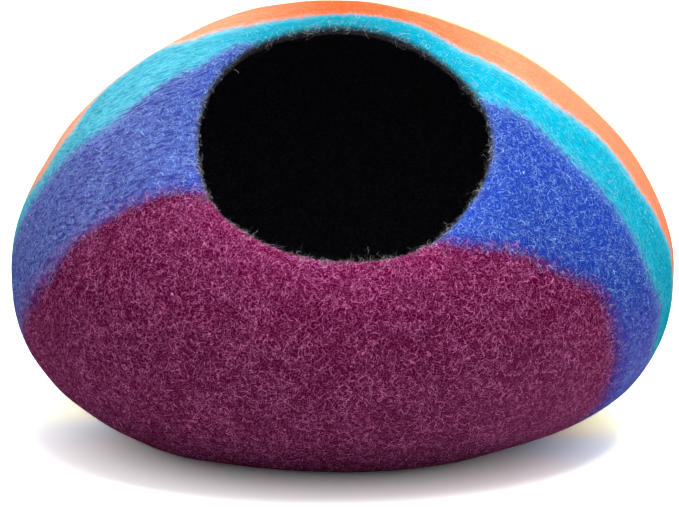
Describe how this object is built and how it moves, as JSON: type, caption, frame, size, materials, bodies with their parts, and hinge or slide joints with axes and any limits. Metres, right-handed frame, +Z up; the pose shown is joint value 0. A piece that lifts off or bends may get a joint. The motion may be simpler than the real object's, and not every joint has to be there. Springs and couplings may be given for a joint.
{
  "type": "felt cat cave",
  "caption": "Seamless felted wool cave for a cat: a hollow, rounded pod of thick felt with a flat base and one round opening that faces forward and up.",
  "frame": {"origin": "centre of the footprint on the surface it stands on, under the middle of the pod", "axes": "+Z up, -Y is the side that the opening faces, +X is to the opening's right as seen from the front"},
  "size_m": [0.4602, 0.4418, 0.2995],
  "materials": {
    "wool_felt": "thick wet-felted wool, matt and fuzzy, in broad plain bands of plum, blue, turquoise, orange and pale yellow, with near-black wool inside"
  },
  "bodies": {
    "root": {"felt_shell": "wool_felt"}
  },
  "joints": []
}
